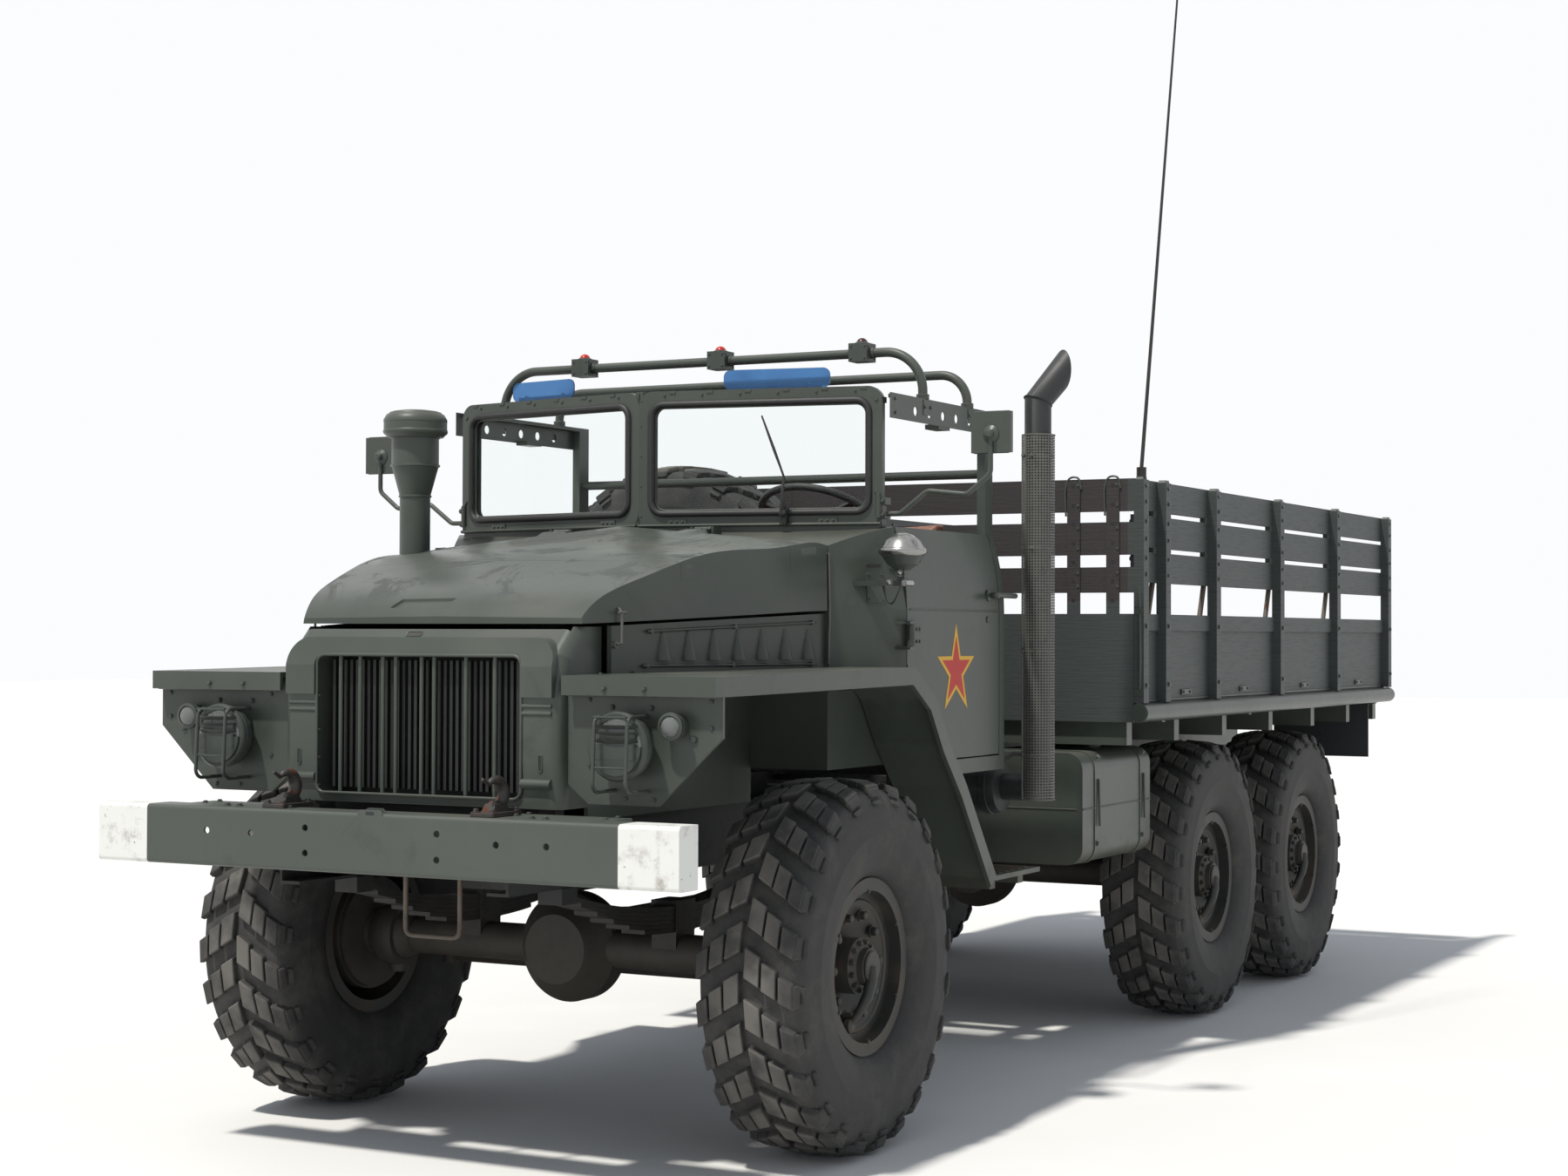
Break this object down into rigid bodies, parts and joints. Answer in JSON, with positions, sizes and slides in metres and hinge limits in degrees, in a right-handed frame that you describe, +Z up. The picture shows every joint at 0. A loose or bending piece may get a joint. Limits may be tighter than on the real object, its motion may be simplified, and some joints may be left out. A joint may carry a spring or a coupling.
{
  "type": "military cargo truck",
  "caption": "Six-wheeled military cargo truck with an open-top cab, slatted timber bed, front steering, hinged hood, doors and tailgate.",
  "frame": {"origin": "ground level under the middle of the overall length, on the truck's centre plane", "axes": "+X forward, +Y to the truck's left, +Z up"},
  "size_m": [7.35, 2.77, 5.1662],
  "materials": {
    "paint": "satin olive grey paint, weathered",
    "chassis_paint": "dusty dark paint",
    "bare_steel": "worn and rusty",
    "glass": "clear",
    "blue_glass": "tinted blue",
    "seat_cover": "worn orange-brown leatherette",
    "exhaust_black": "matt black",
    "radiator_core": "matt dark",
    "tyre": "dusty rubber",
    "wheel_paint": "dusty dark paint",
    "flap_rubber": "matt",
    "whip": "black",
    "cab_fittings": "semi-gloss"
  },
  "bodies": {
    "chassis": {"frame_rails": "chassis_paint", "bumper": "paint", "tow_gear": "bare_steel", "front_axle": "chassis_paint", "rear_axles": "chassis_paint", "leaf_springs": "chassis_paint", "drive_line": "chassis_paint", "radiator": "radiator_core", "front_mask": "paint", "fenders": "paint", "lamps": "paint", "cab_tub": "paint", "windscreen_frame": "paint", "windscreen_glass": "glass", "seats": "seat_cover", "controls": "cab_fittings", "roof_rails": "paint", "visors": "blue_glass", "mirrors": "paint", "intake_stack": "paint", "exhaust": "exhaust_black", "spare_carrier": "paint", "spare_disc": "wheel_paint", "spare_tyre": "tyre", "side_tanks": "paint", "bed_floor": "paint", "bed_walls": "paint", "mud_flaps": "flap_rubber", "antenna": "whip"},
    "hood": {"hood": "paint"},
    "door_left": {"door_left": "paint"},
    "door_right": {"door_right": "paint"},
    "tailgate": {"tailgate": "paint"},
    "knuckle_left": {"knuckle_left": "chassis_paint"},
    "knuckle_right": {"knuckle_right": "chassis_paint"},
    "tie_rod": {"tie_rod": "chassis_paint"},
    "wheel_front_left": {"tyre_front_left": "tyre", "disc_front_left": "wheel_paint"},
    "wheel_front_right": {"tyre_front_right": "tyre", "disc_front_right": "wheel_paint"},
    "wheel_mid_left": {"tyre_mid_left": "tyre", "disc_mid_left": "wheel_paint"},
    "wheel_mid_right": {"tyre_mid_right": "tyre", "disc_mid_right": "wheel_paint"},
    "wheel_rear_left": {"tyre_rear_left": "tyre", "disc_rear_left": "wheel_paint"},
    "wheel_rear_right": {"tyre_rear_right": "tyre", "disc_rear_right": "wheel_paint"}
  },
  "joints": [
    {"name": "steer_left", "type": "hinge", "parent": "chassis", "child": "knuckle_left", "pos_m": [2.51, 0.75, 0.615], "axis": [0, 0, 1], "range_deg": [-28, 28]},
    {"name": "steer_right", "type": "hinge", "parent": "chassis", "child": "knuckle_right", "pos_m": [2.51, -0.75, 0.615], "axis": [0, 0, 1], "range_deg": [-28, 28]},
    {"name": "tie_rod_pivot", "type": "hinge", "parent": "knuckle_left", "child": "tie_rod", "pos_m": [2.19, 0.75, 0.505], "axis": [0, 0, 1], "range_deg": [-28, 28]},
    {"name": "roll_front_left", "type": "hinge", "parent": "knuckle_left", "child": "wheel_front_left", "pos_m": [2.51, 1, 0.615], "axis": [0, 1, 0], "continuous": true},
    {"name": "roll_front_right", "type": "hinge", "parent": "knuckle_right", "child": "wheel_front_right", "pos_m": [2.51, -1, 0.615], "axis": [0, 1, 0], "continuous": true},
    {"name": "roll_mid_left", "type": "hinge", "parent": "chassis", "child": "wheel_mid_left", "pos_m": [-1.015, 1, 0.615], "axis": [0, 1, 0], "continuous": true},
    {"name": "roll_mid_right", "type": "hinge", "parent": "chassis", "child": "wheel_mid_right", "pos_m": [-1.015, -1, 0.615], "axis": [0, 1, 0], "continuous": true},
    {"name": "roll_rear_left", "type": "hinge", "parent": "chassis", "child": "wheel_rear_left", "pos_m": [-2.415, 1, 0.615], "axis": [0, 1, 0], "continuous": true},
    {"name": "roll_rear_right", "type": "hinge", "parent": "chassis", "child": "wheel_rear_right", "pos_m": [-2.415, -1, 0.615], "axis": [0, 1, 0], "continuous": true},
    {"name": "hood_hinge", "type": "hinge", "parent": "chassis", "child": "hood", "pos_m": [2.135, 0, 2.072], "axis": [0, -1, 0], "range_deg": [0, 50]},
    {"name": "door_left_hinge", "type": "hinge", "parent": "chassis", "child": "door_left", "pos_m": [1.893, 1.005, 1.8], "axis": [0, 0, -1], "range_deg": [0, 70]},
    {"name": "door_right_hinge", "type": "hinge", "parent": "chassis", "child": "door_right", "pos_m": [1.893, -1.005, 1.8], "axis": [0, 0, 1], "range_deg": [0, 70]},
    {"name": "tailgate_hinge", "type": "hinge", "parent": "chassis", "child": "tailgate", "pos_m": [-3.658, 0, 1.412], "axis": [0, -1, 0], "range_deg": [0, 90]}
  ],
  "couplings": [
    {"joint": "steer_right", "follows": "steer_left", "ratio": 1},
    {"joint": "tie_rod_pivot", "follows": "steer_left", "ratio": -1}
  ]
}
